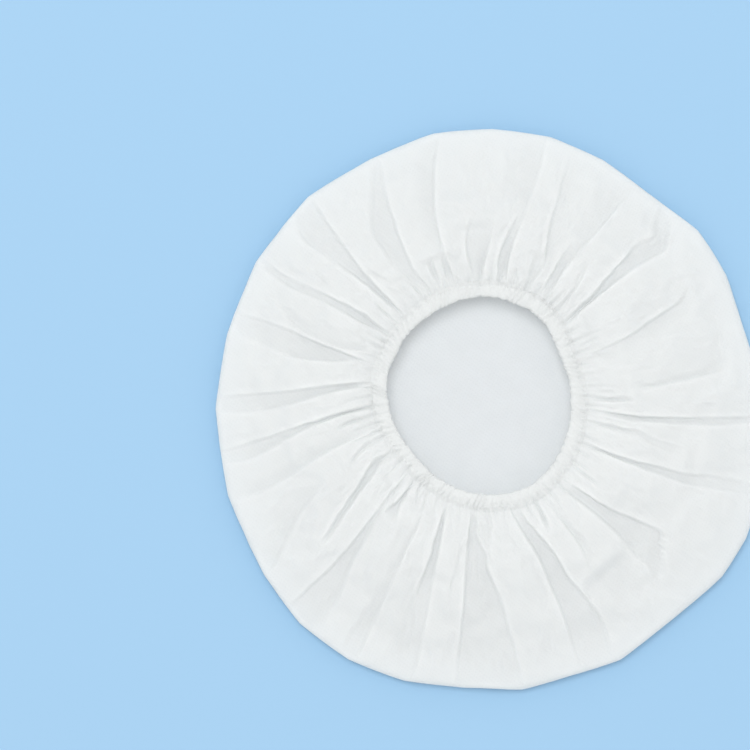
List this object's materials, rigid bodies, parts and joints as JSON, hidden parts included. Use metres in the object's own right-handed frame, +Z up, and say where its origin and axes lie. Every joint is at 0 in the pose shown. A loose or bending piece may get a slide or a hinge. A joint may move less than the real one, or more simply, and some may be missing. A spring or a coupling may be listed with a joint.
{
  "type": "disposable shower cap",
  "caption": "Round disposable shower cap of white nonwoven cloth, lying on its flat crown with its elastic, gathered mouth open upwards.",
  "frame": {"origin": "centre of the outline's box, on the floor under the crown", "axes": "+Z up, out of the mouth and away from the crown; +X and +Y as in the picture seen from above, right and up"},
  "size_m": [0.3166, 0.322, 0.0279],
  "materials": {
    "nonwoven_cloth": "soft matt spunbond cloth, slightly translucent",
    "elastic": "matt woven elastic"
  },
  "bodies": {
    "root": {"cap_shell": "nonwoven_cloth", "hem_casing": "nonwoven_cloth", "elastic_ring": "elastic"}
  },
  "joints": []
}
